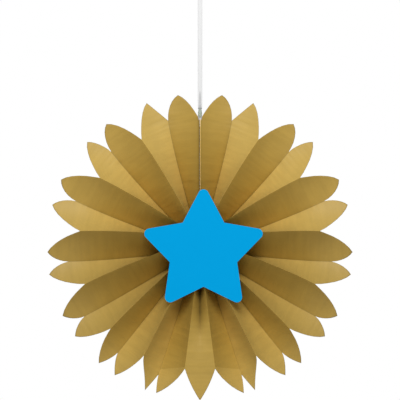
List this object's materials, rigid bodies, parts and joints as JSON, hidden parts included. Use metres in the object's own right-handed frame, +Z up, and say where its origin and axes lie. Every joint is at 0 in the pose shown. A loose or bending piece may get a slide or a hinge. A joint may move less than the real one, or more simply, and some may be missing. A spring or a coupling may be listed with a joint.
{
  "type": "paper fan medallion",
  "caption": "Pleated paper rosette with petal-shaped rim, opened from a tied waist, with a card star in front and a ribbon loop to hang it by.",
  "frame": {"origin": "centre of the rosette's front view, half way through its depth, measured without the ribbon", "axes": "+X to the viewer's right, +Y away from the viewer through the depth, +Z up towards the ribbon"},
  "size_m": [0.4086, 0.0488, 0.5663],
  "materials": {
    "gold_paper": "satin gold tissue-like paper with fine cross creases",
    "tape": "double-sided tape",
    "thread": "flat twisted thread",
    "foam": "closed-cell foam tape",
    "blue_card": "smooth matt printed card",
    "ribbon": "pale satin ribbon"
  },
  "bodies": {
    "root": {"pleated_fan": "gold_paper", "seam_tape": "tape", "waist_tie": "thread", "star_pad_left": "foam", "star_pad_right": "foam", "star": "blue_card", "ribbon_knot": "ribbon", "hanging_ribbon": "ribbon", "ribbon_loop": "ribbon"}
  },
  "joints": []
}
